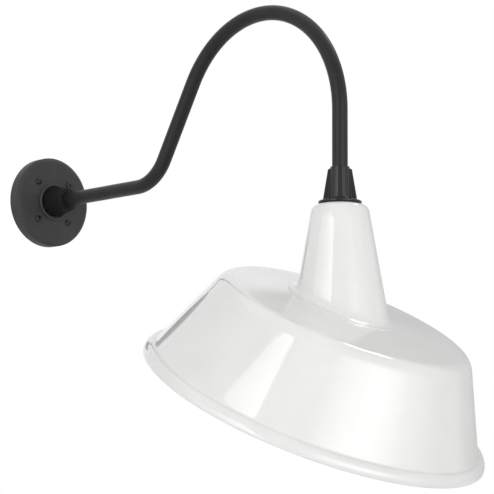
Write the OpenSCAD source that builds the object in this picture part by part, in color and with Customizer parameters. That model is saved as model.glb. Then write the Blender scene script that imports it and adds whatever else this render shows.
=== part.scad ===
// Gooseneck barn light: wall plate, bent pipe arm, cast fitter and a tilted enamel shade.
// Millimetres, +Z up. The origin is the centre of the wall plate's back, on the wall.
// +X points out of the wall, and the arm bends in the plane y = 0.

/* [Wall plate] */
// Outer radius of the wall plate
plate_r = 70; // [64:1:90]
// Depth of the plate from the gasket to its front face
plate_d = 19.2; // [17:0.1:28]
// Width of the chamfer on the plate's front edge, across the face
chamfer_w = 5; // [2:0.5:8]
// Depth of the same chamfer
chamfer_d = 3.8; // [2:0.1:8]
// Wall thickness of the casting
plate_wall = 3.5; // [2.5:0.5:5]
// Thickness of the foam gasket on the wall
gasket_t = 2; // [1:0.5:4]
// Radial width of the gasket
gasket_w = 8; // [5:0.5:10]
// Outer radius of the raised ring round the hub
ring_r = 29; // [27:0.5:32]
// Height of the raised ring over the plate's face
ring_h = 4; // [2:0.5:6]

/* [Wall screws] */
// Diameter of the circle that the screws lie on
screw_pcd = 84; // [80:0.5:90]
// Number of wall screws
screw_count = 4; // [2:1:6]
// Radius of the screw's thread
screw_r = 2.1; // [1.8:0.1:2.6]
// Radius of the screw's head
screw_head_r = 5.3; // [4:0.1:6]
// Height of the screw's head
screw_head_h = 3.4; // [2.5:0.1:4]
// Length of thread that stands out behind the wall
screw_reach = 11; // [6:1:25]

/* [Hub] */
// Radius of the hub where it meets the plate
hub_r = 23; // [21:0.5:25]
// Radius of the hub at its nose
hub_nose_r = 19; // [17:0.5:21]
// Length of the hub in front of the plate
hub_len = 38.8; // [28:0.1:50]
// Radius of the hub's rounded nose edge
hub_edge_r = 3; // [1:0.5:4]
// Radius of the small collar on the nose
collar_r = 15.5; // [14.5:0.5:16.5]
// Length of that collar
collar_len = 2; // [2:0.5:6]
// Radius of the hub's spigot through the plate
spigot_r = 19; // [17:0.5:20]
// Across flats of the nut behind the plate
hub_nut_af = 46; // [44:1:52]
// Thickness of that nut
hub_nut_t = 5; // [4:0.5:7]
// Outer radius of the seal ring round the arm
seal_r = 12.8; // [12.2:0.1:14]
// Length of the seal ring in front of the collar
seal_len = 6; // [4:0.5:8]

/* [Arm] */
// Outer radius of the half-inch pipe
pipe_r = 10.67; // [10:0.01:11]
// Radius of the pipe's bore
pipe_bore_r = 7.9; // [7:0.1:8.4]
// Length of the level run, from the wall to the first bend
arm_level = 226; // [150:1:320]
// Centreline radius of the first bend
low_bend_r = 70; // [50:1:100]
// Angle that the first bend turns up by
rise_angle = 59.3; // [40:0.1:75]
// Length of the straight run between the bends
rise_len = 122.5; // [60:0.5:200]
// Centreline radius of the large top bend
top_bend_r = 160.5; // [110:0.5:200]
// Length of the drop from the top bend to the fitter
arm_drop = 79; // [30:1:160]
// Depth that the arm reaches into the fitter
arm_engage = 26; // [18:1:30]

/* [Fitter] */
// Height of the cast fitter
fitter_h = 50; // [40:1:60]
// Radius of its body at the top
fitter_top_r = 13; // [12.6:0.1:15]
// Radius of its body over the flange
fitter_low_r = 15; // [14:0.1:18]
// Radius of the flange that holds the shade
flange_r = 29.3; // [26:0.1:34]
// Thickness of the flange at its rim
flange_t = 2.7; // [1.5:0.1:4]
// Height that the flange's top slopes down by, from the fins to the rim
flange_rise = 2; // [2:0.5:7]
// Number of fins
fin_count = 4; // [3:1:6]
// Reach of a fin from the axis at its top
fin_top_r = 16.3; // [14.5:0.1:18]
// Reach of a fin from the axis at the flange
fin_low_r = 23; // [19:0.1:25]
// Thickness of a fin at its top
fin_t = 3.8; // [2:0.1:6]
// Thickness of a fin at the flange
fin_low_t = 6; // [3:0.1:8]

/* [Neck] */
// Length of the neck along its axis, from its top to the shade's roof
neck_len = 134.3; // [110:0.1:180]
// Radius that the neck's cone would have at its very top
neck_r = 37.9; // [34:0.1:42]
// Growth of the neck's radius for each millimetre down
neck_slope = 0.176; // [0.1:0.002:0.22]
// Radius of the rounded shoulder at the neck's top
neck_shoulder = 14; // [5:0.5:16]
// Width of the flared lip at the neck's foot
lip_w = 10; // [6:0.5:14]
// Length of cone that bends into the lip
lip_bend = 13; // [8:0.5:18]
// Thickness of the rolled edge of the lip
lip_t = 3; // [2:0.1:4]
// Width of the inner foot that the rivets pass through
foot_w = 11; // [10:0.5:13]

/* [Shade] */
// Tilt of the shade's mouth towards the wall
tilt = 27.2; // [15:0.1:35]
// Turn of the tilted shade about the arm's drop
shade_turned = 2.5; // [-20:0.5:20]
// Shift of the shade's axis outwards from the neck's foot, along the roof
shade_shift = 19; // [10:0.1:25]
// Thickness of the enamelled sheet
sheet_t = 1.6; // [1.2:0.1:2.4]
// Outer radius of the mouth, over its rolled rim
mouth_r = 242; // [220:1:260]
// Height of the flat roof over the mouth's plane
roof_h = 134; // [115:0.5:160]
// Radius of the rounded shoulder between roof and wall
shoulder_r = 26; // [15:1:45]
// Distance that the wall's cone, carried down to the mouth's plane, lies inside the rim
wall_inset = 7; // [2:0.1:16]
// Growth of the wall's radius for each millimetre down
wall_slope = 0.459; // [0.35:0.001:0.5]
// Radius of the rounded brim below the wall
brim_r = 13.8; // [10:0.1:30]
// Radius of the rolled edge inside the mouth
rim_bead_r = 1.9; // [1.7:0.1:3]
// Outer radius of the raised boss on the roof
boss_r = 79; // [76:0.5:90]
// Height of the boss over the roof
boss_h = 5.5; // [3:0.5:8]
// Width of the slope round the boss
boss_slope_w = 5; // [3:0.5:8]
// Radius of the hole in the roof under the neck
roof_hole_r = 46; // [42:0.5:48]
// Number of rivets between the neck and the shade, spread over 240 degrees
rivet_count = 5; // [3:1:7]
// Radius of a rivet's shank
rivet_r = 2; // [1.5:0.1:2.4]
// Radius of a rivet's head
rivet_head_r = 3.4; // [3:0.1:4]

/* [Lampholder] */
// Drop from the fitter's flange to the top of the lampholder
holder_drop = 56; // [40:1:80]
// Radius of the porcelain body
holder_r = 24; // [23.5:0.5:26]
// Height of the porcelain body
holder_h = 46; // [42:1:60]
// Depth of its socket
socket_d = 31; // [29:0.5:36]
// Inner radius of the screw shell
shell_r = 13.45; // [13.3:0.05:14]
// Thickness of the screw shell
shell_t = 0.6; // [0.4:0.1:0.8]
// Thickness of the lampholder's steel cap
cap_t = 2.5; // [1.5:0.1:4]
// Height of the cap's threaded hub
cap_hub_h = 12; // [8:1:20]
// Radius of the hole pattern for the two lampholder screws
holder_screw_at = 19.4; // [19:0.1:19.6]

/* [Lamp] */
// Radius of the lamp's screw cap
lamp_cap_r = 13.1; // [12.8:0.05:13.2]
// Height of the lamp's screw cap
lamp_cap_h = 22; // [20:0.5:24]
// Largest radius of the glass
glass_r = 33.4; // [28:0.1:36]
// Length of the glass
glass_len = 100; // [85:1:110]
// Thickness of the glass
glass_t = 1; // [0.8:0.1:1.5]

/* [Hidden] */
$fn = 96;

// Clearances: turning fits, seats between still parts, and room between moving faces
fit = 0.05;
seat = 0.05;
room = 0.3;

// Colours as the photograph shows them
black_cast = [0.2, 0.2, 0.21];
black_gloss = [0.12, 0.12, 0.12];
enamel = [0.9, 0.9, 0.89];
zinc = [0.7, 0.7, 0.72];
brass = [0.72, 0.58, 0.3];
porcelain = [0.93, 0.92, 0.88];
rubber = [0.08, 0.08, 0.08];

// Places along X at the wall
plate_back = gasket_t;
plate_face = gasket_t + plate_d;
plate_inner = plate_face - plate_wall;
hub_nose = plate_face + hub_len;
arm_start = plate_inner - hub_nut_t - 1;

// Places along the arm
arm_x = arm_level + low_bend_r * sin(rise_angle) + rise_len * cos(rise_angle) + top_bend_r * (sin(rise_angle) + 1);
top_bend_z = low_bend_r * (1 - cos(rise_angle)) + rise_len * sin(rise_angle) - top_bend_r * cos(rise_angle);
fitter_top = top_bend_z - arm_drop;
arm_end = fitter_top - arm_engage;

// Places down the fitter and the neck
flange_low = fitter_top - fitter_h;
neck_gasket_t = 1.5;
neck_top = flange_low - neck_gasket_t;
foot_z = neck_top - neck_len;
washer_t = 2;
locknut_t = 6;
locknut_af = 30;
nipple_top = arm_end - 3;

// Places of the shade: its frame stands on the mouth's plane, tilted about Y
boss_top = roof_h + boss_h;
wall_foot_r = mouth_r - wall_inset;
shade_x = arm_x + shade_shift * cos(tilt) - (boss_top + seat) * sin(tilt);
shade_z = foot_z - shade_shift * sin(tilt) - (boss_top + seat) * cos(tilt);

// Places of the lampholder and the lamp
holder_top = flange_low - holder_drop;
holder_low = holder_top - holder_h;
socket_r = shell_r + shell_t + fit;
socket_top = holder_low + socket_d;
contact_t = 1;
tip_h = 1.5;
insulator_h = 4;
lamp_top = socket_top - contact_t - room;
lamp_cap_top = lamp_top - tip_h - insulator_h;
glass_top = lamp_cap_top - lamp_cap_h;
wire_hole_r = 1.5;
wire_y = 2.6;

// Points of an arc, from angle a to angle b in n steps
function arc(c, r, a, b, n) = [for (i = [0:n]) c + r * [cos(a + (b - a) * i / n), sin(a + (b - a) * i / n)]];

// Points of a curve that leaves p along the line to q and ends at s
function bend(p, q, s, n) = [for (i = [1:n]) let (u = i / n) (1 - u) * (1 - u) * p + 2 * u * (1 - u) * q + u * u * s];

// A list backwards
function back(v) = [for (i = [len(v) - 1:-1:0]) v[i]];

// Unit direction of the path v at its point i
function along(v, i) = let (d = v[min(i + 1, len(v) - 1)] - v[max(i - 1, 0)]) d / norm(d);

// The path v moved t to the right of its own direction
function inside(v, t) = [for (i = [0:len(v) - 1]) let (d = along(v, i)) v[i] + t * [d[1], -d[0]]];

// A solid of revolution about X, from points given as [distance from the wall, radius]
module turn_x(points) {
  rotate([90, 0, 90]) rotate_extrude() polygon([for (p = points) [p[1], p[0]]]);
}

// A cylinder along X from a to b
module rod_x(r, a, b) {
  translate([a, 0, 0]) rotate([0, 90, 0]) cylinder(r = r, h = b - a);
}

// A six-sided prism along Z, by its width across flats
module hex(af, h) {
  cylinder(r = af / sqrt(3), h = h, $fn = 6);
}

// The arm's route as a solid of radius r, from x = start to z = finish. A bend draws the wall in a little, and each
// straight run laps over its ends
module arm_route(r, start, finish) {
  lap = 1.5;
  bend_r = r - 0.12;
  rod_x(r, start, arm_level + lap);
  translate([arm_level, 0, low_bend_r]) {
    rotate([90, 0, 0]) rotate([0, 0, -90])
      rotate_extrude(angle = rise_angle) translate([low_bend_r, 0]) circle(r = bend_r);
    rotate([0, -rise_angle, 0]) translate([0, 0, -low_bend_r]) {
      rod_x(r, -lap, rise_len + lap);
      translate([rise_len, 0, -top_bend_r]) rotate([90, 0, 0]) rotate([0, 0, -rise_angle])
        rotate_extrude(angle = 90 + rise_angle) translate([top_bend_r, 0]) circle(r = bend_r);
    }
  }
  translate([arm_x, 0, finish]) cylinder(r = r, h = top_bend_z + lap - finish);
}

// Places the children at each wall screw, on the plane x = 0
module at_wall_screws() {
  for (i = [0:screw_count - 1])
    rotate([180 / screw_count + i * 360 / screw_count, 0, 0]) translate([0, 0, screw_pcd / 2]) children();
}

module wall_gasket() {
  color(rubber) difference() {
    rod_x(plate_r - 1, 0, gasket_t);
    rod_x(plate_r - 1 - gasket_w, -1, gasket_t + 1);
  }
}

// The dished casting, with its screw posts, raised ring and hole for the hub
module wall_plate() {
  post_r = screw_r + 4;
  color(black_cast) difference() {
    union() {
      turn_x([[plate_back, plate_r - plate_wall], [plate_back, plate_r], [plate_face - chamfer_d, plate_r],
        [plate_face, plate_r - chamfer_w], [plate_face, 0], [plate_inner, 0],
        [plate_inner, plate_r - plate_wall - chamfer_w + 2], [plate_inner - 2, plate_r - plate_wall]]);
      turn_x(concat([[plate_inner, spigot_r], [plate_inner, ring_r]],
        [for (p = arc([plate_face + ring_h - 2, ring_r - 2], 2, 90, 0, 6)) p],
        [[plate_face + ring_h, hub_r + 2.5], [plate_face + 1, hub_r + 1], [plate_face, hub_r + 0.6],
        [plate_inner, hub_r + 0.6]]));
      at_wall_screws() rod_x(post_r, plate_back, plate_face - 1);
      at_ground_screw() rod_x(post_r, plate_inner - 5, plate_face - 1);
    }
    rod_x(spigot_r + fit, 0, plate_face + ring_h);
    at_wall_screws() rod_x(screw_r + 0.4, 0, plate_face + 1);
    at_ground_screw() rod_x(screw_r + fit, 0, plate_face - 1.5);
  }
}

// Dome-head screws with a small cross recess. The thread is rolled, so the shank in the plate is slimmer than it
module wall_screws() {
  recess_w = 1.1;
  recess_l = 4.6;
  recess_d = 1.9;
  color(black_gloss) at_wall_screws() difference() {
    union() {
      rod_x(screw_r, -screw_reach, plate_back - room);
      rod_x(screw_r - 0.1, 0, plate_face + 1);
      turn_x(concat([[plate_face, 0], [plate_face, screw_head_r], [plate_face + screw_head_h / 3, screw_head_r]],
        bend([plate_face + screw_head_h / 3, screw_head_r], [plate_face + screw_head_h, screw_head_r * 0.85],
          [plate_face + screw_head_h, 0], 8)));
    }
    for (a = [20, 110]) translate([plate_face + screw_head_h - recess_d, 0, 0]) rotate([a, 0, 0])
      translate([0, -recess_l / 2, -recess_w / 2]) cube([recess_d + 1, recess_l, recess_w]);
  }
}

// The hub that carries the arm, with its spigot, tapered barrel and nose collar
module arm_hub() {
  nose_c = [hub_nose - hub_edge_r, hub_nose_r - hub_edge_r];
  color(black_cast) difference() {
    turn_x(concat([[arm_start + 1, 0], [arm_start + 1, spigot_r], [plate_face, spigot_r], [plate_face, hub_r - 1],
      [plate_face + 1.2, hub_r]], arc(nose_c, hub_edge_r, 90, 0, 6),
      [[hub_nose, collar_r], [hub_nose + collar_len - 1, collar_r], [hub_nose + collar_len, collar_r - 1],
      [hub_nose + collar_len, 0]]));
    rod_x(pipe_r + fit, 0, hub_nose + collar_len + 1);
    translate([plate_face + hub_len / 2, 0, 0]) rotate([-90, 0, 0]) cylinder(r = set_screw_r + fit, h = hub_r + 1);
  }
}

// The nut that draws the hub against the plate from behind
module hub_nut() {
  color(zinc) difference() {
    translate([plate_inner - hub_nut_t, 0, 0]) rotate([0, 90, 0]) hex(hub_nut_af, hub_nut_t);
    rod_x(spigot_r + fit, 0, plate_face);
  }
}

// The rubber ring that seals the arm at the hub's nose
module arm_seal() {
  seal_from = hub_nose + collar_len;
  color(rubber) difference() {
    turn_x(concat([[seal_from, 0], [seal_from, seal_r - 0.5]], arc([seal_from + 1.5, seal_r - 1.5], 1.5, 120, 90, 3),
      arc([seal_from + seal_len - 1.5, seal_r - 1.5], 1.5, 90, 0, 5), [[seal_from + seal_len, 0]]));
    rod_x(pipe_r + fit, seal_from - 1, seal_from + seal_len + 1);
  }
}

// A headless set screw with a hexagon socket, along Z from the tip up
set_screw_r = 3;
module set_screw(length) {
  color(black_gloss) difference() {
    union() {
      cylinder(r1 = set_screw_r - 1, r2 = set_screw_r, h = 1);
      translate([0, 0, 1]) cylinder(r = set_screw_r, h = length - 1);
    }
    translate([0, 0, length - 3]) hex(3, 4);
  }
}

module hub_set_screw() {
  tip = pipe_r + room;
  mid_r = (hub_r + hub_nose_r) / 2;
  translate([plate_face + hub_len / 2, tip, 0]) rotate([-90, 0, 0]) set_screw(mid_r - tip - 1);
}

// The green earth screw, in a post of its own on the plate's back
module ground_screw() {
  head_af = 8;
  head_from = plate_inner - 5 - seat;
  color([0.2, 0.5, 0.25]) at_ground_screw() {
    rod_x(screw_r, head_from - 1, plate_face - 1.5 - room);
    translate([head_from - 3, 0, 0]) rotate([0, 90, 0]) hex(head_af, 3);
  }
}

// Places the children at the earth screw, below the hub
module at_ground_screw() {
  translate([0, 0, -(plate_r + ring_r) / 2]) children();
}

module arm_tube() {
  color(black_cast) difference() {
    arm_route(pipe_r, arm_start, arm_end);
    arm_route(pipe_bore_r, arm_start - 1, arm_end - 1);
  }
}

// The cast fitter: tapered body, tapered fins and a sloped flange
module fitter() {
  fin_foot = flange_low + flange_t + flange_rise;
  color(black_gloss) translate([arm_x, 0, 0]) difference() {
    union() {
      rotate_extrude() polygon(concat([[0, fitter_top], [fitter_top_r - 0.6, fitter_top],
        [fitter_top_r, fitter_top - 0.8], [fitter_low_r, fin_foot + 4]],
        bend([fitter_low_r, fin_foot + 4], [fitter_low_r + 0.6, fin_foot + 0.6], [fin_low_r, fin_foot], 5),
        bend([fin_low_r, fin_foot], [flange_r - 3, flange_low + flange_t + 0.6 * flange_rise],
          [flange_r, flange_low + flange_t], 5),
        [[flange_r, flange_low + 0.5], [flange_r - 0.5, flange_low], [0, flange_low]]));
      for (i = [0:fin_count - 1]) rotate([0, 0, 45 + i * 360 / fin_count]) fin(fin_foot - 0.6);
    }
    translate([0, 0, flange_low - 1]) cylinder(r = pipe_r + fit, h = fitter_h + 2);
    translate([0, 0, arm_end + 8]) rotate([-90, 0, 0]) cylinder(r = set_screw_r + fit, h = fin_low_r);
  }
}

// One fin along X, down to the height foot
module fin(foot) {
  top = fitter_top - 1.2;
  intersection() {
    rotate([90, 0, 0]) translate([0, 0, -10]) linear_extrude(20)
      polygon([[pipe_r + 1, top], [fin_top_r - 1.5, top - 0.8], [fin_top_r, top - 3], [fin_low_r, foot], [pipe_r + 1, foot]]);
    rotate([90, 0, 90]) linear_extrude(fin_low_r + 1)
      polygon([[-fin_t / 2, top + 1], [fin_t / 2, top + 1], [fin_low_t / 2, foot - 1], [-fin_low_t / 2, foot - 1]]);
  }
}

module fitter_set_screw() {
  tip = pipe_r + room;
  translate([arm_x, tip, arm_end + 8]) rotate([-90, 0, 0]) set_screw(fitter_low_r - tip + 1);
}

// A flat ring about the neck's axis, from z down by t
module neck_ring(outer, inner, z, t) {
  translate([arm_x, 0, z - t]) difference() {
    cylinder(r = outer, h = t);
    translate([0, 0, -1]) cylinder(r = inner, h = t + 2);
  }
}

module neck_gasket() {
  color(rubber) neck_ring(flange_r - 1.5, pipe_r + room, flange_low, neck_gasket_t - seat);
}

module clamp_washer() {
  color(zinc) neck_ring(neck_r - neck_shoulder - sheet_t, pipe_r + fit, neck_top - sheet_t - seat, washer_t);
}

module neck_locknut() {
  color(zinc) translate([arm_x, 0, neck_top - sheet_t - seat - washer_t - locknut_t]) difference() {
    hex(locknut_af, locknut_t);
    translate([0, 0, -1]) cylinder(r = pipe_r + fit, h = locknut_t + 2);
  }
}

// The short pipe that the lampholder hangs on
module socket_nipple() {
  color(zinc) neck_ring(pipe_r, pipe_bore_r, nipple_top, nipple_top - holder_top);
}

// Where the neck's cone, of radius r at its top, meets the tilted plane dz above the foot
function cone_at(a, r, dz) =
  let (q = (r + neck_slope * (neck_len - dz)) / (1 - neck_slope * tan(tilt) * cos(a)))
  [q, foot_z + dz - tan(tilt) * q * cos(a)];

// Unit direction outwards along the tilted plane, in the section at angle a
function plane_out(a) = let (d = [1, -tan(tilt) * cos(a)]) d / norm(d);

// The neck's section at angle a round its axis, as [radius, height] points
function neck_section(a) =
  let (
    ang = atan(neck_slope),
    fil = neck_shoulder,
    fil_in = max(fil - sheet_t, 1),
    c = [neck_r + neck_slope * fil - fil / cos(ang), neck_top - fil],
    in_r = neck_r - sheet_t / cos(ang),
    out = plane_out(a),
    rise = lip_t / cos(tilt),
    crest = cone_at(a, neck_r, rise),
    from = crest + lip_bend * [-neck_slope, 1],
    tip = crest + lip_w * out,
    foot = cone_at(a, neck_r, 0),
    foot_in = cone_at(a, in_r, 0),
    foot_up = cone_at(a, in_r, sheet_t / cos(tilt)),
    edge = foot + (lip_w + 0.2) * out
  )
  concat(
    [[pipe_r + room, neck_top]],
    arc(c, fil, 90, ang, 6),
    [from], bend(from, crest, tip, 6),
    [(tip * 3 + edge) / 4 + 1.1 * out, (tip + 3 * edge) / 4 + 1.1 * out, edge],
    [foot_in - foot_w * out, foot_up - foot_w * out, foot_up],
    back(arc(c, fil_in, 90, ang, 4)),
    [[pipe_r + room, neck_top - sheet_t]]);

// The neck: a vertical cone cut off along the tilted roof, with a flared lip outside and a foot inside
module neck() {
  steps = 96;
  rings = [for (i = [0:steps - 1]) neck_section(i * 360 / steps)];
  n = len(rings[0]);
  points = [for (i = [0:steps - 1]) for (p = rings[i])
    [p[0] * cos(i * 360 / steps), p[0] * sin(i * 360 / steps), p[1]]];
  faces = [for (i = [0:steps - 1]) for (j = [0:n - 1]) let (
    a = i * n + j, b = i * n + (j + 1) % n, c = ((i + 1) % steps) * n + (j + 1) % n, d = ((i + 1) % steps) * n + j)
    each [[a, b, c], [a, c, d]]];
  color(enamel) difference() {
    turned() translate([arm_x, 0, 0]) polyhedron(points, faces, convexity = 6);
    at_rivets() translate([0, 0, -1]) cylinder(r = rivet_r + fit, h = sheet_t + 2, $fn = 24);
  }
}

// Turns the children about the arm's drop, as the shade rests
module turned() {
  translate([arm_x, 0, 0]) rotate([0, 0, shade_turned]) translate([-arm_x, 0, 0]) children();
}

// Places the children in the shade's own tilted frame, at its mouth's plane
module in_shade() {
  turned() translate([shade_x, 0, shade_z]) rotate([0, tilt, 0]) children();
}

// The shade's outer line from the roof's middle to the foot of the brim, as [radius, height] points
function shade_line() =
  let (
    half = (90 - atan(wall_slope)) / 2,
    corner = wall_foot_r - wall_slope * roof_h,
    tangent = shoulder_r * tan(half),
    lean = atan(wall_slope),
    brim_x = mouth_r - brim_r,
    u = wall_foot_r - brim_x,
    k = 1 + wall_slope * wall_slope,
    crease_h = (u * wall_slope + sqrt(u * u * wall_slope * wall_slope - k * (u * u - brim_r * brim_r))) / k
  )
  concat(
    [[0, boss_top]],
    [for (i = [0:8]) [boss_r - boss_slope_w * (1 - i / 8), roof_h + boss_h * (1 + cos(180 * i / 8)) / 2]],
    arc([corner - tangent, roof_h - shoulder_r], shoulder_r, 90, lean, 12),
    arc([brim_x, 0], brim_r, atan2(crease_h, u - wall_slope * crease_h), 0, 10));

// The spun reflector, with its boss, shoulder, wall, rounded brim and rolled rim
module reflector() {
  outer = shade_line();
  inner = inside(outer, sheet_t);
  last = len(outer) - 2;
  rim = arc([mouth_r - rim_bead_r, 0], rim_bead_r, 0, -225, 12);
  color(enamel) difference() {
    in_shade() rotate_extrude($fn = 128)
      polygon(concat(outer, [for (i = [1:12]) rim[i]], [for (i = [last:-1:0]) inner[i]]));
    in_shade() translate([foot_mid, 0, roof_h - 10]) cylinder(r = roof_hole_r, h = 30);
    at_rivets() translate([0, 0, -10]) cylinder(r = rivet_r + fit, h = 20, $fn = 24);
  }
}

// Middle of the neck's oblique foot, in the shade's frame
foot_mid = (cone_at(0, neck_r, 0)[0] - cone_at(180, neck_r, 0)[0]) / 2 / cos(tilt) - shade_shift;

// Places the children on the roof at each rivet, with Z along the shade's axis
module at_rivets() {
  for (i = [0:rivet_count - 1]) {
    a = -120 + i * 240 / (rivet_count - 1);
    p = cone_at(a, neck_r - sheet_t, 0) - (foot_w - rivet_head_r - 0.4) * plane_out(a);
    turned() translate([arm_x + p[0] * cos(a), p[0] * sin(a), p[1]]) rotate([0, tilt, 0]) children();
  }
}

module neck_rivets() {
  head_r = rivet_head_r;
  head_h = 1.6;
  top = sheet_t + 2 * seat;
  color(zinc) at_rivets() {
    translate([0, 0, -top - 0.5]) cylinder(r = rivet_r, h = 2 * top + 1, $fn = 24);
    rotate_extrude($fn = 32) polygon(concat([[0, top], [head_r, top]], bend([head_r, top], [head_r * 0.8, top + head_h],
      [0, top + head_h], 4)));
    rotate_extrude($fn = 32) polygon(concat([[0, -top]], [[0, -top - head_h]], back(bend([head_r, -top],
      [head_r * 0.8, -top - head_h], [0, -top - head_h], 4)), [[head_r, -top]]));
  }
}

// Places the children at the two lampholder screws
module at_holder_screws() {
  for (s = [-1, 1]) translate([arm_x + s * holder_screw_at, 0, 0]) children();
}

// The steel cap that screws onto the nipple and holds the porcelain
module holder_cap() {
  skirt_r = holder_r + room + 1.2;
  color(zinc) difference() {
    translate([arm_x, 0, 0]) rotate_extrude() polygon([[pipe_r + fit, holder_top], [holder_r + room, holder_top],
      [holder_r + room, holder_top - 6], [skirt_r, holder_top - 6], [skirt_r, holder_top + cap_t - 1],
      [skirt_r - 1, holder_top + cap_t], [pipe_r + 4, holder_top + cap_t], [pipe_r + 3, holder_top + cap_t + 1],
      [pipe_r + 3, holder_top + cap_hub_h], [pipe_r + fit, holder_top + cap_hub_h]]);
    at_holder_screws() translate([0, 0, holder_top - 1]) cylinder(r = holder_screw_r + fit, h = cap_t + 2, $fn = 24);
  }
}
holder_screw_r = 1.75;
holder_head_r = 3;

module lampholder() {
  edge = 1;
  head_d = 4;
  color(porcelain) difference() {
    translate([arm_x, 0, 0]) rotate_extrude() polygon([[0, holder_top - seat], [holder_r - 1, holder_top - seat],
      [holder_r, holder_top - 1], [holder_r, holder_low + edge], [holder_r - edge, holder_low], [0, holder_low]]);
    translate([arm_x, 0, holder_low - 1]) cylinder(r = socket_r, h = socket_d + 1);
    at_holder_screws() translate([0, 0, holder_low - 1]) cylinder(r = holder_screw_r + 0.2, h = holder_h + 2, $fn = 24);
    at_holder_screws() translate([0, 0, holder_low - 1]) cylinder(r = holder_head_r + 0.2, h = head_d + 1, $fn = 24);
    for (s = [-1, 1]) translate([arm_x, s * wire_y, socket_top + 4])
      cylinder(r = wire_hole_r, h = holder_top - socket_top, $fn = 24);
    for (s = [-1, 1]) translate([arm_x, 0, holder_top - 6]) rotate([-90 * s, 0, 0])
      translate([0, 0, wire_y]) cylinder(r = terminal_r + fit, h = holder_r, $fn = 24);
  }
}
terminal_r = 2;

module holder_screws() {
  color(zinc) at_holder_screws() {
    translate([0, 0, holder_low + 3]) cylinder(r = holder_screw_r, h = holder_h - 3 + cap_t, $fn = 24);
    translate([0, 0, holder_low + 1]) cylinder(r = holder_head_r, h = 3 - seat, $fn = 32);
  }
}

module screw_shell() {
  color(brass) neck_ring(shell_r + shell_t, shell_r, socket_top - seat, socket_d - 2);
}

module centre_contact() {
  color(brass) translate([arm_x, 0, socket_top - contact_t]) cylinder(r = 5, h = contact_t - seat);
}

module terminal_screws() {
  from = wire_y + wire_hole_r + room;
  color(brass) for (s = [-1, 1]) translate([arm_x, 0, holder_top - 6]) rotate([-90 * s, 0, 0])
    translate([0, 0, from]) difference() {
      cylinder(r = terminal_r, h = holder_r - 2 - from, $fn = 24);
      translate([-terminal_r, -0.5, holder_r - 3 - from]) cube([2 * terminal_r, 1, 2]);
    }
}

module lamp_cap() {
  pitch = 3.63;
  turns = floor((lamp_cap_h - 4) / pitch);
  thread = [for (i = [0:turns - 1]) each [
    [lamp_cap_r - 0.8, lamp_cap_top - 2 - i * pitch], [lamp_cap_r, lamp_cap_top - 2 - (i + 0.5) * pitch]]];
  color(brass) translate([arm_x, 0, 0]) rotate_extrude() polygon(concat(
    [[0, lamp_cap_top], [lamp_cap_r - 1.2, lamp_cap_top]], thread,
    [[lamp_cap_r - 0.8, lamp_cap_top - 2 - turns * pitch], [lamp_cap_r, glass_top + 1], [lamp_cap_r, glass_top],
    [0, glass_top]]));
}

module lamp_insulator() {
  color(black_gloss) translate([arm_x, 0, lamp_cap_top]) cylinder(r1 = lamp_cap_r - 1.6, r2 = 5.5, h = insulator_h);
}

module lamp_tip() {
  color(zinc) translate([arm_x, 0, lamp_top - tip_h]) cylinder(r1 = 4.6, r2 = 3.4, h = tip_h);
}

// The lamp's glass: a narrow neck that swells into a round end
module lamp_glass() {
  c = [0, glass_top - glass_len + glass_r];
  neck_line = bend([lamp_cap_r - 0.3, glass_top - 4], [lamp_cap_r + 2, c[1] + glass_r * 1.35],
    c + glass_r * [cos(28), sin(28)], 10);
  outer = concat([[lamp_cap_r - 0.3, glass_top], [lamp_cap_r - 0.3, glass_top - 4]], neck_line,
    arc(c, glass_r, 20, -86, 22));
  color([0.95, 0.95, 0.93]) translate([arm_x, 0, 0]) rotate_extrude() polygon(concat(
    outer, [[0, glass_top - glass_len], [0, glass_top - glass_len + glass_t]],
    back(inside(outer, glass_t))));
}

wall_gasket();
wall_plate();
wall_screws();
arm_hub();
hub_nut();
arm_seal();
hub_set_screw();
ground_screw();
arm_tube();
fitter();
fitter_set_screw();
neck_gasket();
neck();
clamp_washer();
neck_locknut();
socket_nipple();
reflector();
neck_rivets();
holder_cap();
lampholder();
holder_screws();
screw_shell();
centre_contact();
terminal_screws();
lamp_cap();
lamp_insulator();
lamp_tip();
lamp_glass();
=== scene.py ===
import math

import bpy
import numpy as np
from mathutils import Matrix, Vector


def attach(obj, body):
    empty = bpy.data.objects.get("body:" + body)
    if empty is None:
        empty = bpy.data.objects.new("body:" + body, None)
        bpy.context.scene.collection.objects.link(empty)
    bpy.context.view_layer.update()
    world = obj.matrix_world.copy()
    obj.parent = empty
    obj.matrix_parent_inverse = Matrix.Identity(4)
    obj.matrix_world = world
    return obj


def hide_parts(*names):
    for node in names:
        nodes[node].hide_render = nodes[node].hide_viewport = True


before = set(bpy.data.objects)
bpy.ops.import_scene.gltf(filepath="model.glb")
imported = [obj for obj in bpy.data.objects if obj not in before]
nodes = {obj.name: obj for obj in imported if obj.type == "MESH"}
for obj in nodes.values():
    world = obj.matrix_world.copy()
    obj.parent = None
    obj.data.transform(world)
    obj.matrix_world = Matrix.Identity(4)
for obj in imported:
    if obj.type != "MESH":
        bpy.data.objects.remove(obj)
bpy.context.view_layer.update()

# The arm, in millimetres as in the part's source: level run, low bend, rise, top bend and drop
PIPE_R = 10.67
PIPE_BORE_R = 7.9
ARM_START = 11.7
ARM_LEVEL = 226.0
LOW_BEND_R = 70.0
RISE = math.radians(59.3)
RISE_LEN = 122.5
TOP_BEND_R = 160.5
DROP_LEN = 79.0
PIPE_IN_FITTER = 26.0
ARM_X = (ARM_LEVEL + LOW_BEND_R * math.sin(RISE) + RISE_LEN * math.cos(RISE)
         + TOP_BEND_R * (1 + math.sin(RISE)))
TOP_BEND_Z = (LOW_BEND_R * (1 - math.cos(RISE)) + RISE_LEN * math.sin(RISE)
              - TOP_BEND_R * math.cos(RISE))
FITTER_TOP = TOP_BEND_Z - DROP_LEN
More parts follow.
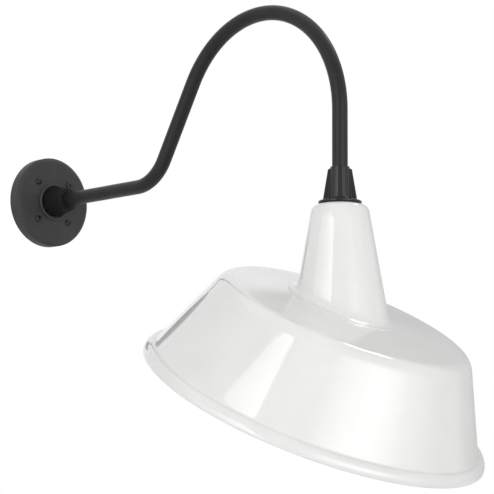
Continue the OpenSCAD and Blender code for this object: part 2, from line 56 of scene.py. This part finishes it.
ARM_END = FITTER_TOP - PIPE_IN_FITTER

# The fitter: a tapered body with four fins over a thin flange
FITTER_H = 50.0
FLANGE_LOW = FITTER_TOP - FITTER_H
FIN_FOOT = FLANGE_LOW + 4.7
BORE_R = PIPE_R + 0.05
BODY_TOP_R = 13.0
BODY_LOW_R = 15.0
BODY_TOP = FITTER_TOP - 0.8
BODY_FLARE = 5.0
BODY_FLARE_H = 4
FIN_TOP_R = 16.3
FIN_LOW_R = 23.0
FIN_TOP = FITTER_TOP - 1.2
FIN_CROWN_H = 3
FIN_CROWN_BEND_H = 2.6
FIN_CROWN_R = 9.0
FIN_TOP_T = 3.8
FIN_LOW_T = 6.0
FIN_EDGE_BLEND = 1.2
FIN_BODY_BLEND = 1.6
FITTER_LIP = [(BORE_R, 0), (12.4, 0), (12.8, -0.2)]
CROWN_STEPS = [0.6, 1.2, 1.5, 1.9, 2.3, 2.8, 3.4, 4.2]
FIN_FOOT_STEPS = [(23.4, -0.1), (24.2, -0.3)]
FLANGE_BEND = [(24.2, FIN_FOOT - 0.3), (27.4, FLANGE_LOW + 3.9), (28.9, FLANGE_LOW + 2.9)]
FLANGE_EDGE = [(29.2, 2.5), (29.3, 2.1), (29.3, 0.6), (29.1, 0.2), (28.7, 0), (BORE_R, 0)]

# The neck: a sheet cone with a rounded top and a lip at its slanted foot
GASKET_T = 1.5
SHEET = 1.6
NECK_TOP = FLANGE_LOW - GASKET_T
NECK_LEN = 134.3
NECK_R = 37.9
NECK_SLOPE = 0.176
NECK_SHOULDER = 12.5
NECK_HOLE_R = PIPE_R + 0.3
NECK_FLAT_R = 18.0
LIP_W = 11.5
LIP_T = 0.8
LIP_SINK = 1.5
LIP_BEND_H = 13.0
LIP_INSIDE_W = 9.0
FOOT_Z = NECK_TOP - NECK_LEN

# The reflector: a slight cone for a roof, a round shoulder, a conical wall, a brim and a rolled rim
TILT = math.radians(27.2)
TURN = math.radians(2.5)
MOUTH_R = 242.0
WALL_FOOT_R = MOUTH_R - 7.0
WALL_SLOPE = 0.459
BRIM_R = 13.8
RIM_BEAD_R = 1.9
BRIM_BEND_H = 2.2
BRIM_BEND_DEG = 10.0
SHOULDER_R = 26.0
ROOF_H = 134.0
ROOF_TOP = ROOF_H + 5.5
ROOF_FLAT_R = 66.0
ROOF_LEVEL_R = 74.0
ROOF_BEND = 6
ROOF_HOLE_R = 46.0
AXIS_SHIFT = 19.0
SEAT = 0.05
SHADE_X = ARM_X + AXIS_SHIFT * math.cos(TILT) - (ROOF_TOP + SEAT) * math.sin(TILT)
SHADE_Z = FOOT_Z - AXIS_SHIFT * math.sin(TILT) - (ROOF_TOP + SEAT) * math.cos(TILT)


# Node helpers


def new_material(name):
    mat = bpy.data.materials.new(name)
    mat.use_nodes = True
    tree = mat.node_tree
    tree.nodes.clear()
    out = tree.nodes.new("ShaderNodeOutputMaterial")
    shader = tree.nodes.new("ShaderNodeBsdfPrincipled")
    tree.links.new(shader.outputs[0], out.inputs[0])
    return mat, tree, shader


def coords(tree):
    return tree.nodes.new("ShaderNodeTexCoord").outputs["Object"]


def noise(tree, vector, scale, detail=3.0, rough=0.5):
    node = tree.nodes.new("ShaderNodeTexNoise")
    node.inputs["Scale"].default_value = scale
    node.inputs["Detail"].default_value = detail
    node.inputs["Roughness"].default_value = rough
    tree.links.new(vector, node.inputs["Vector"])
    return node.outputs["Fac"]


def ramp(tree, factor, stops):
    """A colour ramp through (place, colour) stops."""
    node = tree.nodes.new("ShaderNodeValToRGB")
    elements = node.color_ramp.elements
    while len(elements) < len(stops):
        elements.new(0.5)
    for element, (place, colour) in zip(elements, stops):
        element.position = place
        element.color = (*colour, 1.0)
    tree.links.new(factor, node.inputs["Fac"])
    return node.outputs["Color"]


def map_range(tree, value, from_low, from_high, to_low=0.0, to_high=1.0):
    node = tree.nodes.new("ShaderNodeMapRange")
    node.inputs["From Min"].default_value = from_low
    node.inputs["From Max"].default_value = from_high
    node.inputs["To Min"].default_value = to_low
    node.inputs["To Max"].default_value = to_high
    tree.links.new(value, node.inputs["Value"])
    return node.outputs["Result"]


def combine(tree, operation, a, b):
    """A math node on the socket a and on b, which is a socket or a number."""
    node = tree.nodes.new("ShaderNodeMath")
    node.operation = operation
    tree.links.new(a, node.inputs[0])
    if isinstance(b, float):
        node.inputs[1].default_value = b
    else:
        tree.links.new(b, node.inputs[1])
    return node.outputs[0]


def tint(tree, shader, factor, low, high):
    """Lets the base colour drift between two tones."""
    tree.links.new(ramp(tree, factor, [(0.3, low), (0.7, high)]), shader.inputs["Base Color"])


def dull(tree, shader, factor, low, high):
    """Lets the roughness drift between two values."""
    tree.links.new(map_range(tree, factor, 0.3, 0.7, low, high), shader.inputs["Roughness"])


def emboss(tree, shader, height, distance, strength):
    """A fine bump over the whole surface."""
    node = tree.nodes.new("ShaderNodeBump")
    node.inputs["Strength"].default_value = strength
    node.inputs["Distance"].default_value = distance
    tree.links.new(height, node.inputs["Height"])
    tree.links.new(node.outputs["Normal"], shader.inputs["Normal"])


# Materials


def enamel_material():
    """White gloss enamel with faint ripples and a few specks."""
    mat, tree, shader = new_material("white_enamel")
    place = coords(tree)
    cloud = noise(tree, place, 14.0, 4.0, 0.55)
    base = ramp(tree, cloud, [(0.3, (0.80, 0.80, 0.79)), (0.7, (0.84, 0.84, 0.832))])
    specks = tree.nodes.new("ShaderNodeTexVoronoi")
    specks.inputs["Scale"].default_value = 42.0
    tree.links.new(place, specks.inputs["Vector"])
    dots = ramp(tree, specks.outputs["Distance"], [(0.018, (0.42, 0.41, 0.39)), (0.034, (1, 1, 1))])
    mix = tree.nodes.new("ShaderNodeMix")
    mix.data_type = "RGBA"
    mix.blend_type = "MULTIPLY"
    mix.inputs["Factor"].default_value = 0.5
    tree.links.new(base, mix.inputs["A"])
    tree.links.new(dots, mix.inputs["B"])
    tree.links.new(mix.outputs["Result"], shader.inputs["Base Color"])
    shader.inputs["Roughness"].default_value = 0.08
    shader.inputs["IOR"].default_value = 1.5
    shader.inputs["Coat Weight"].default_value = 0.6
    shader.inputs["Coat Roughness"].default_value = 0.03
    shader.inputs["Coat IOR"].default_value = 1.5
    emboss(tree, shader, noise(tree, place, 55.0, 2.0, 0.4), 0.0004, 0.12)
    return mat


def paint_material(name, tones, rough, grain, depth, specular, coat=0.0, coat_rough=0.2):
    """Paint: a faint drift in colour and gloss over a fine, slightly pebbled surface."""
    mat, tree, shader = new_material(name)
    place = coords(tree)
    tint(tree, shader, noise(tree, place, 30.0, 5.0, 0.6), *tones)
    dull(tree, shader, noise(tree, place, 70.0, 4.0), *rough)
    shader.inputs["IOR"].default_value = 1.5
    shader.inputs["Specular IOR Level"].default_value = specular
    shader.inputs["Coat Weight"].default_value = coat
    shader.inputs["Coat Roughness"].default_value = coat_rough
    emboss(tree, shader, noise(tree, place, grain, 3.0), depth, 0.35)
    return mat


def metal_material(name, tones, rough):
    """Plated metal: tone and gloss vary, with fine marks."""
    mat, tree, shader = new_material(name)
    place = coords(tree)
    tint(tree, shader, noise(tree, place, 60.0, 5.0, 0.6), *tones)
    dull(tree, shader, noise(tree, place, 150.0, 4.0), *rough)
    shader.inputs["Metallic"].default_value = 1.0
    emboss(tree, shader, noise(tree, place, 900.0, 2.0), 0.00008, 0.3)
    return mat


def rubber_material():
    mat, tree, shader = new_material("black_rubber")
    place = coords(tree)
    cloud = noise(tree, place, 80.0, 4.0)
    tint(tree, shader, cloud, (0.012, 0.012, 0.013), (0.022, 0.022, 0.023))
    dull(tree, shader, cloud, 0.6, 0.8)
    emboss(tree, shader, noise(tree, place, 1200.0, 2.0), 0.0001, 0.4)
    return mat


def porcelain_material():
    mat, tree, shader = new_material("glazed_porcelain")
    place = coords(tree)
    tint(tree, shader, noise(tree, place, 45.0, 4.0), (0.78, 0.76, 0.70), (0.83, 0.82, 0.77))
    shader.inputs["Roughness"].default_value = 0.2
    shader.inputs["Coat Weight"].default_value = 0.5
    shader.inputs["Coat Roughness"].default_value = 0.05
    emboss(tree, shader, noise(tree, place, 180.0, 2.0), 0.0002, 0.2)
    return mat


def frosted_material():
    mat, tree, shader = new_material("frosted_glass")
    place = coords(tree)
    tint(tree, shader, noise(tree, place, 25.0, 4.0), (0.86, 0.86, 0.84), (0.92, 0.92, 0.90))
    shader.inputs["Roughness"].default_value = 0.35
    shader.inputs["Subsurface Weight"].default_value = 0.3
    shader.inputs["Subsurface Radius"].default_value = (0.004, 0.004, 0.004)
    shader.inputs["Subsurface Scale"].default_value = 1.0
    emboss(tree, shader, noise(tree, place, 700.0, 3.0), 0.00008, 0.25)
    return mat


enamel = enamel_material()
satin_black = paint_material("satin_black", ((0.012, 0.012, 0.013), (0.018, 0.018, 0.019)), (0.30, 0.40),
                             grain=700.0, depth=0.00012, specular=0.22)
plate_black = paint_material("plate_black", ((0.040, 0.040, 0.041), (0.052, 0.052, 0.053)), (0.42, 0.52),
                             grain=700.0, depth=0.00012, specular=0.2)
hub_black = paint_material("hub_black", ((0.008, 0.008, 0.009), (0.013, 0.013, 0.014)), (0.34, 0.44),
                           grain=600.0, depth=0.00012, specular=0.1)
gloss_black = paint_material("gloss_black", ((0.006, 0.006, 0.007), (0.010, 0.010, 0.011)), (0.14, 0.24),
                             grain=260.0, depth=0.00015, specular=0.25, coat=0.2, coat_rough=0.05)
rubber = rubber_material()
zinc = metal_material("zinc_plate", ((0.50, 0.51, 0.53), (0.62, 0.62, 0.63)), (0.28, 0.42))
brass = metal_material("bright_brass", ((0.66, 0.48, 0.20), (0.76, 0.58, 0.28)), (0.18, 0.32))
nickel = metal_material("nickel_plate", ((0.60, 0.58, 0.54), (0.70, 0.68, 0.63)), (0.15, 0.28))
solder = metal_material("solder", ((0.42, 0.42, 0.41), (0.56, 0.56, 0.54)), (0.35, 0.5))
earth_green = paint_material("earth_green", ((0.02, 0.13, 0.05), (0.035, 0.20, 0.08)), (0.3, 0.45),
                             grain=500.0, depth=0.0001, specular=0.5)
porcelain = porcelain_material()
frosted = frosted_material()


# Mesh helpers


def finish_mesh(name, rings, mat, body, replaced):
    """A new piece from closed rings in millimetres, shaded smooth up to a sharp angle."""
    verts, faces = shell(rings)
    mesh = bpy.data.meshes.new(name)
    mesh.from_pydata([(x * 0.001, y * 0.001, z * 0.001) for x, y, z in verts], [], faces)
    mesh.validate()
    mesh.materials.append(mat)
    mesh.polygons.foreach_set("use_smooth", [True] * len(mesh.polygons))
    mesh.set_sharp_from_angle(angle=math.radians(38))
    obj = bpy.data.objects.new(name, mesh)
    bpy.context.scene.collection.objects.link(obj)
    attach(obj, body)
    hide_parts(replaced)


def shell(rings):
    """Vertices and quads of a closed surface from rings of equal length, the last joined to the first."""
    rings = np.asarray(rings, float)
    rows, cols = rings.shape[:2]
    faces = []
    for i in range(rows):
        k = (i + 1) % rows
        for j in range(cols):
            m = (j + 1) % cols
            faces.append((i * cols + j, i * cols + m, k * cols + m, k * cols + j))
    return rings.reshape(-1, 3), faces


def angles(count):
    """Angles round a full circle, equal steps apart."""
    return [math.tau * j / count for j in range(count)]


def arc(cx, cy, r, start, end, count):
    """Points of an arc from start to end in degrees, both ends included."""
    points = []
    for i in range(count + 1):
        a = math.radians(start + (end - start) * i / count)
        points.append((cx + r * math.cos(a), cy + r * math.sin(a)))
    return points


def line(p, q, count):
    """Points from p to q, without p."""
    return [(p[0] + (q[0] - p[0]) * i / count, p[1] + (q[1] - p[1]) * i / count)
            for i in range(1, count + 1)]


def bend(p, q, s, t):
    """The point at t on the curve from p to s that leaves and arrives towards q."""
    return tuple((1 - t) ** 2 * a + 2 * t * (1 - t) * b + t * t * c for a, b, c in zip(p, q, s))


def offset(path, t):
    """The path moved t to its right."""
    out = []
    for i in range(len(path)):
        a = path[max(i - 1, 0)]
        b = path[min(i + 1, len(path) - 1)]
        d = math.hypot(b[0] - a[0], b[1] - a[1])
        out.append((path[i][0] + t * (b[1] - a[1]) / d, path[i][1] - t * (b[0] - a[0]) / d))
    return out


# The reflector


def to_row(b, y, h):
    """A point of the shade's tilted and turned frame in the part's frame."""
    out = SHADE_X - ARM_X + b * math.cos(TILT) + h * math.sin(TILT)
    return (ARM_X + out * math.cos(TURN) - y * math.sin(TURN),
            out * math.sin(TURN) + y * math.cos(TURN),
            SHADE_Z - b * math.sin(TILT) + h * math.cos(TILT))


def brim_crease():
    """Where the wall's line meets the brim's circle, as (radius, height)."""
    u = WALL_FOOT_R - (MOUTH_R - BRIM_R)
    k = 1 + WALL_SLOPE * WALL_SLOPE
    h = (u * WALL_SLOPE + math.sqrt(u * u * WALL_SLOPE * WALL_SLOPE - k * (u * u - BRIM_R * BRIM_R))) / k
    return WALL_FOOT_R - WALL_SLOPE * h, h


def shade_profile():
    """The outer line from the roof's flat middle to the mouth, as (radius, height)."""
    lean = math.degrees(math.atan(WALL_SLOPE))
    arc_r = WALL_FOOT_R - WALL_SLOPE * ROOF_H - SHOULDER_R * math.tan(math.radians((90 - lean) / 2))
    rise = ROOF_TOP - ROOF_H + SHOULDER_R
    fall = (math.atan2(rise, arc_r - ROOF_LEVEL_R)
            - math.asin(SHOULDER_R / math.hypot(arc_r - ROOF_LEVEL_R, rise)))
    path = [(ROOF_FLAT_R, ROOF_TOP)]
    for i in range(9):
        t = i / 8
        path.append((ROOF_LEVEL_R - ROOF_BEND * (1 - t) ** 2 + ROOF_BEND * t * t,
                     ROOF_TOP - ROOF_BEND * t * t * math.tan(fall)))
    shoulder = arc(arc_r, ROOF_H - SHOULDER_R, SHOULDER_R, 90 - math.degrees(fall), lean, 30)
    path += line(path[-1], shoulder[0], 12) + shoulder[1:]
    crease = brim_crease()
    above = (crease[0] - WALL_SLOPE * BRIM_BEND_H, crease[1] + BRIM_BEND_H)
    path += line(path[-1], above, 14)
    brim_x = MOUTH_R - BRIM_R
    below_angle = math.degrees(math.atan2(crease[1], crease[0] - brim_x)) - BRIM_BEND_DEG
    brim = arc(brim_x, 0.0, BRIM_R, below_angle, 0, 18)
    path += [bend(above, crease, brim[0], i / 9) for i in range(1, 9)]
    return path + brim


def make_reflector():
    turn = angles(360)
    outer = shade_profile()
    inner = offset(outer, SHEET)
    bead = arc(MOUTH_R - RIM_BEAD_R, 0.0, RIM_BEAD_R, 0, -225, 14)[1:]
    foot_r = NECK_R + NECK_SLOPE * NECK_LEN
    hole_x = ((foot_r / (1 - NECK_SLOPE * math.tan(TILT)) - foot_r / (1 + NECK_SLOPE * math.tan(TILT)))
              / 2 / math.cos(TILT) - AXIS_SHIFT)

    def middle_ring(k, h):
        """From the neck's hole at k 0 towards the roof's flat edge at k 1."""
        return [to_row((hole_x + ROOF_HOLE_R * math.cos(a)) * (1 - k) + ROOF_FLAT_R * math.cos(a) * k,
                       ROOF_HOLE_R * math.sin(a) * (1 - k) + ROOF_FLAT_R * math.sin(a) * k, h) for a in turn]

    rings = [middle_ring(k, ROOF_TOP) for k in (0.0, 0.25, 0.5, 0.75)]
    for r, h in outer + bead + inner[-2::-1]:
        rings.append([to_row(r * math.cos(a), r * math.sin(a), h) for a in turn])
    rings += [middle_ring(k, ROOF_TOP - SHEET) for k in (0.75, 0.5, 0.25, 0.0)]
    finish_mesh("shade_reflector", rings, enamel, "shade", "reflector")


# The neck


def cone_at(a, r, dz):
    """The cone of top radius r at angle a, dz above the slanted foot, as (radius, height)."""
    q = (r + NECK_SLOPE * (NECK_LEN - dz)) / (1 - NECK_SLOPE * math.tan(TILT) * math.cos(a))
    return np.array((q, FOOT_Z + dz - math.tan(TILT) * q * math.cos(a)))


def neck_section(a):
    """The neck's closed section at angle a round its axis, as (radius, height)."""
    lean = math.atan(NECK_SLOPE)
    fillet = NECK_SHOULDER
    centre = (NECK_R + NECK_SLOPE * fillet - fillet / math.cos(lean), NECK_TOP - fillet)
    in_r = NECK_R - SHEET / math.cos(lean)
    sheet_h = SHEET / math.cos(TILT)
    out = np.array((1, -math.tan(TILT) * math.cos(a)))
    out = out / np.linalg.norm(out)
    up = np.array((-out[1], out[0]))
    crest = cone_at(a, NECK_R, LIP_T / math.cos(TILT))
    start = crest + LIP_BEND_H * np.array((-NECK_SLOPE, 1))
    tip = crest + LIP_W * out
    edge = LIP_T / 2
    section = [np.array((NECK_HOLE_R, NECK_TOP)), np.array((NECK_FLAT_R, NECK_TOP))]
    section += [np.array(p) for p in arc(*centre, fillet, 90, math.degrees(lean), 14)]
    top = section[-1]
    section += [top + (start - top) * i / 10 for i in range(1, 11)]
    section += [np.array(bend(start, crest, tip, i / 14)) for i in range(1, 15)]
    middle = tip - up * LIP_T / 2
    section += [middle + edge * (up * math.cos(b) + out * math.sin(b))
                for b in np.linspace(0.35, math.pi / 2, 6)]
    section += [middle + edge * (out - up) - LIP_SINK * up, middle - (edge + LIP_SINK) * up]
    section += [cone_at(a, in_r, 0) - LIP_INSIDE_W * out, cone_at(a, in_r, sheet_h) - LIP_INSIDE_W * out]
    low = cone_at(a, in_r, sheet_h)
    section.append(low)
    inner_top = [np.array(p) for p in arc(*centre, fillet - SHEET, math.degrees(lean), 90, 8)]
    section += [low + (inner_top[0] - low) * i / 6 for i in range(1, 6)]
    section += inner_top
    section.append(np.array((NECK_HOLE_R, NECK_TOP - SHEET)))
    return section


def make_neck():
    turn = angles(240)
    sections = [neck_section(a) for a in turn]
    rings = []
    for points in zip(*sections):
        rings.append([(ARM_X + r * math.cos(a + TURN), r * math.sin(a + TURN), z)
                      for a, (r, z) in zip(turn, points)])
    finish_mesh("shade_neck", rings, enamel, "shade", "neck")


# The arm


def arm_centreline():
    """Points and directions along the pipe, from the wall to its end in the fitter."""
    path = []
    for i in range(13):
        path.append(((ARM_START + (ARM_LEVEL - ARM_START) * i / 12, 0), 0.0))
    for i in range(1, 33):
        t = RISE * i / 32
        path.append(((ARM_LEVEL + LOW_BEND_R * math.sin(t), LOW_BEND_R * (1 - math.cos(t))), t))
    x, z = path[-1][0]
    for i in range(1, 9):
        d = RISE_LEN * i / 8
        path.append(((x + d * math.cos(RISE), z + d * math.sin(RISE)), RISE))
    for i in range(1, 97):
        t = RISE - (RISE + math.pi / 2) * i / 96
        path.append(((ARM_X - TOP_BEND_R + TOP_BEND_R * math.cos(t + math.pi / 2),
                      TOP_BEND_Z + TOP_BEND_R * math.sin(t + math.pi / 2)), t))
    for i in range(1, 7):
        path.append(((ARM_X, TOP_BEND_Z + (ARM_END - TOP_BEND_Z) * i / 6), -math.pi / 2))
    return path


def make_arm():
    turn = angles(72)
    path = arm_centreline()

    def ring(place, r):
        (x, z), t = place
        return [(x - r * math.cos(a) * math.sin(t), r * math.sin(a), z + r * math.cos(a) * math.cos(t))
                for a in turn]

    rings = [ring(p, PIPE_R) for p in path] + [ring(p, PIPE_BORE_R) for p in reversed(path)]
    finish_mesh("arm_pipe", rings, satin_black, "arm", "arm_tube")


# The fitter


def smooth_max(a, b, width):
    """The larger of two lengths, with a fillet where they are less than a width apart."""
    h = max(width - abs(a - b), 0.0) / width
    return max(a, b) + h * h * width / 4


def body_reach(z):
    """The round body's radius: a slight taper with a flare at its foot."""
    flare_top = FIN_FOOT + BODY_FLARE_H
    if z > flare_top:
        return BODY_TOP_R + (BODY_LOW_R - BODY_TOP_R) * (BODY_TOP - z) / (BODY_TOP - FIN_FOOT - BODY_FLARE_H)
    t = min((flare_top - z) / BODY_FLARE_H, 1.0)
    return BODY_LOW_R + BODY_FLARE * t ** 3


def fin_reach(z):
    """How far the fins reach from the axis: a taper with a round crown at the top."""
    crown = FIN_TOP - FIN_CROWN_H
    if z > crown:
        t = min(max((z - crown) / FIN_CROWN_BEND_H, 0.0), 1.0)
        return FIN_TOP_R * (1 - t * t) + FIN_CROWN_R * t * t
    return FIN_TOP_R + (FIN_LOW_R - FIN_TOP_R) * (crown - z) / (crown - FIN_FOOT)


def fitter_section(z, turn):
    """The body's circle with four fins on the diagonals, blended into it."""
    half_t = (FIN_TOP_T + (FIN_LOW_T - FIN_TOP_T) * (FITTER_TOP - z) / (FITTER_TOP - FIN_FOOT)) / 2
    out = []
    for a in turn:
        d = (a % (math.pi / 2)) - math.pi / 4
        far = fin_reach(z) / math.cos(d)
        side = half_t / max(abs(math.sin(d)), 1e-6)
        fin = -smooth_max(-far, -side, FIN_EDGE_BLEND)
        r = smooth_max(body_reach(z), fin, FIN_BODY_BLEND)
        out.append((ARM_X + r * math.cos(a), r * math.sin(a), z))
    return out


def make_fitter():
    turn = angles(720)

    def circle(r, z):
        return [(ARM_X + r * math.cos(a), r * math.sin(a), z) for a in turn]

    heights = [FITTER_TOP - step for step in CROWN_STEPS]
    heights += list(np.linspace(FITTER_TOP - 6, FIN_FOOT + 5, 16))
    heights += list(np.linspace(FIN_FOOT + BODY_FLARE_H, FIN_FOOT + 0.2, 9))
    rings = [circle(r, FITTER_TOP + h) for r, h in FITTER_LIP]
    rings += [fitter_section(z, turn) for z in heights]
    rings += [circle(r, FIN_FOOT + h) for r, h in FIN_FOOT_STEPS]
    rings += [circle(*bend(*FLANGE_BEND, i / 8)) for i in range(1, 9)]
    rings += [circle(r, FLANGE_LOW + h) for r, h in FLANGE_EDGE]
    finish_mesh("shade_fitter", rings, gloss_black, "shade", "fitter")


make_reflector()
make_neck()
make_arm()
make_fitter()

NODE_MATERIALS = [
    (rubber, ["wall_gasket", "neck_gasket"]),
    (plate_black, ["wall_plate"]),
    (hub_black, ["arm_hub", "arm_seal"]),
    (satin_black, ["arm_tube"]),
    (gloss_black, ["wall_screws", "hub_set_screw", "fitter", "fitter_set_screw", "lamp_insulator"]),
    (earth_green, ["ground_screw"]),
    (enamel, ["neck", "reflector"]),
    (zinc, ["hub_nut", "clamp_washer", "neck_locknut", "socket_nipple", "neck_rivets", "holder_cap",
            "holder_screws"]),
    (brass, ["screw_shell", "centre_contact", "terminal_screws"]),
    (porcelain, ["lampholder"]),
    (nickel, ["lamp_cap"]),
    (solder, ["lamp_tip"]),
    (frosted, ["lamp_glass"]),
]
for mat, names in NODE_MATERIALS:
    for name in names:
        mesh = nodes[name].data
        mesh.materials.clear()
        mesh.materials.append(mat)


# The floor: pale, and brighter to gloss alone, as the room of the photograph is

FLOOR_Z = -0.85
FLOOR_HALF = 6
FLOOR_GLOW = 0.33
floor_mesh = bpy.data.meshes.new("floor")
corners = [(-1, -1), (1, -1), (1, 1), (-1, 1)]
floor_mesh.from_pydata([(FLOOR_HALF * x, FLOOR_HALF * y, FLOOR_Z) for x, y in corners], [], [(0, 1, 2, 3)])
floor = bpy.data.objects.new("floor", floor_mesh)
bpy.context.scene.collection.objects.link(floor)
floor_mat, floor_tree, floor_shader = new_material("pale_floor")
tint(floor_tree, floor_shader, noise(floor_tree, coords(floor_tree), 1.5, 3.0),
     (0.84, 0.84, 0.84), (0.87, 0.87, 0.87))
floor_shader.inputs["Roughness"].default_value = 0.9
floor_shader.inputs["Emission Color"].default_value = (1, 1, 1, 1)
floor_rays = floor_tree.nodes.new("ShaderNodeLightPath")
floor_tree.links.new(combine(floor_tree, "MULTIPLY", floor_rays.outputs["Is Glossy Ray"], FLOOR_GLOW),
                     floor_shader.inputs["Emission Strength"])
floor_mesh.materials.append(floor_mat)

# The world: dim to the surfaces, white to the camera, to glass and to gloss. Gloss also sees a grey wall
# behind the object to the right, whose left edge is sharp. Azimuths are in degrees

AMBIENT = 0.45
BEHIND = -133.4
GREY_WALL_EDGE = -143.0
GREY_WALL = (0.58, 0.58, 0.58)
world = bpy.data.worlds.new("studio")
bpy.context.scene.world = world
world.use_nodes = True
sky = world.node_tree
sky.nodes.clear()
sky_way = sky.nodes.new("ShaderNodeTexCoord").outputs["Generated"]
sky_rays = sky.nodes.new("ShaderNodeLightPath").outputs


def facing(azimuth, low, high):
    """How far a direction leans to an azimuth in degrees, from 0 at a cosine of low to 1 at high."""
    a = math.radians(azimuth)
    dot = sky.nodes.new("ShaderNodeVectorMath")
    dot.operation = "DOT_PRODUCT"
    dot.inputs[1].default_value = (math.sin(a), -math.cos(a), 0.0)
    sky.links.new(sky_way, dot.inputs[0])
    return map_range(sky, dot.outputs["Value"], low, high)


beyond_edge = facing(GREY_WALL_EDGE - 90, -0.01, 0.01)
wall_share = combine(sky, "MULTIPLY", beyond_edge, facing(BEHIND, 0.4, 0.65))
wall_seen = combine(sky, "MULTIPLY", wall_share, sky_rays["Is Glossy Ray"])
seen = combine(sky, "MAXIMUM", sky_rays["Is Camera Ray"], sky_rays["Is Transmission Ray"])
seen_all = combine(sky, "MAXIMUM", seen, sky_rays["Is Glossy Ray"])
ambient = sky.nodes.new("ShaderNodeBackground")
ambient.inputs["Color"].default_value = (1, 1, 1, 1)
ambient.inputs["Strength"].default_value = AMBIENT
white = sky.nodes.new("ShaderNodeBackground")
white.inputs["Strength"].default_value = 1.0
sky.links.new(ramp(sky, wall_seen, [(0.0, (1, 1, 1)), (1.0, GREY_WALL)]), white.inputs["Color"])
either = sky.nodes.new("ShaderNodeMixShader")
sky.links.new(seen_all, either.inputs[0])
sky.links.new(ambient.outputs[0], either.inputs[1])
sky.links.new(white.outputs[0], either.inputs[2])
world_out = sky.nodes.new("ShaderNodeOutputWorld")
sky.links.new(either.outputs[0], world_out.inputs[0])

# The camera: its angles, and the depth in metres and the place in the picture of the origin

CAMERA_AZ = math.radians(46.629)
CAMERA_EL = math.radians(-7.608)
CAMERA_ROLL = math.radians(0.281)
CAMERA_DEPTH = 3.0964
PICTURE_PX = 494
FOCAL_PX = 1952.3
ORIGIN_PX = (45.494, 203.546)
SENSOR = 36.0
back = Vector((math.sin(CAMERA_AZ) * math.cos(CAMERA_EL), -math.cos(CAMERA_AZ) * math.cos(CAMERA_EL),
               math.sin(CAMERA_EL)))
level = Vector((math.cos(CAMERA_AZ), math.sin(CAMERA_AZ), 0))
upright = back.cross(level)
right = math.cos(CAMERA_ROLL) * level + math.sin(CAMERA_ROLL) * upright
up = -math.sin(CAMERA_ROLL) * level + math.cos(CAMERA_ROLL) * upright
turned = Matrix((right, up, back)).transposed()
origin_seen = Vector(((ORIGIN_PX[0] - PICTURE_PX / 2) / FOCAL_PX * CAMERA_DEPTH,
                      -(ORIGIN_PX[1] - PICTURE_PX / 2) / FOCAL_PX * CAMERA_DEPTH, -CAMERA_DEPTH))
cam_data = bpy.data.cameras.new("camera")
cam_data.sensor_width = SENSOR
cam_data.lens = FOCAL_PX / PICTURE_PX * SENSOR
cam_data.clip_end = 50.0
camera = bpy.data.objects.new("camera", cam_data)
camera.matrix_world = Matrix.Translation(-(turned @ origin_seen)) @ turned.to_4x4()
bpy.context.scene.collection.objects.link(camera)
bpy.context.scene.camera = camera


# The lamps

LAMP_TARGET = Vector((0.5, 0, -0.2))
FRONT = 46.6
ROUND_FADE = [(0.0, 1.0), (0.2, 0.7), (0.5, 0.0)]


def softbox(name, azimuth, elevation, distance, width, height, power):
    """An area light that faces the object; azimuth and elevation are counted from the target."""
    a, e = math.radians(azimuth), math.radians(elevation)
    way = Vector((math.sin(a) * math.cos(e), -math.cos(a) * math.cos(e), math.sin(e)))
    data = bpy.data.lights.new(name, "AREA")
    data.shape = "RECTANGLE"
    data.size = width
    data.size_y = height
    data.energy = power
    lamp = bpy.data.objects.new(name, data)
    lamp.location = LAMP_TARGET + way * distance
    lamp.rotation_mode = "QUATERNION"
    lamp.rotation_quaternion = way.to_track_quat("Z", "Y")
    bpy.context.scene.collection.objects.link(lamp)
    return data


def fade(data, stops, radial=False):
    """Shades a softbox across its width, or from its middle outwards, by (place, strength) stops."""
    data.use_nodes = True
    tree = data.node_tree
    emission = next(n for n in tree.nodes if n.type == "EMISSION")
    place = tree.nodes.new("ShaderNodeNewGeometry").outputs["Parametric"]
    if radial:
        middle = tree.nodes.new("ShaderNodeVectorMath")
        middle.operation = "DISTANCE"
        middle.inputs[1].default_value = (0.5, 0.5, 0.0)
        tree.links.new(place, middle.inputs[0])
        across = middle.outputs["Value"]
    else:
        parts = tree.nodes.new("ShaderNodeSeparateXYZ")
        tree.links.new(place, parts.inputs[0])
        across = parts.outputs["X"]
    tree.links.new(ramp(tree, across, [(p, (s, s, s)) for p, s in stops]), emission.inputs["Color"])


fade(softbox("left", FRONT - 40, 5, 2.6, 1.6, 2.4, 31), [(0.0, 0.0), (0.9, 1.0), (1.0, 1.0)])
fade(softbox("far_left", FRONT - 48, 5, 2.6, 2.4, 2.4, 16), [(0.0, 1.0), (0.02, 1.0), (1.0, 0.0)])
fade(softbox("right", FRONT + 35, 0, 3.0, 3.4, 3.4, 100), ROUND_FADE, True)
fade(softbox("far_right", FRONT + 60, 0, 3.0, 3.4, 3.4, 31), ROUND_FADE, True)
softbox("top", 20, 80, 2.6, 2.6, 2.6, 7)
softbox("behind", 166, 56, 2.6, 0.5, 0.5, 4)

bpy.context.scene.view_settings.view_transform = "Standard"
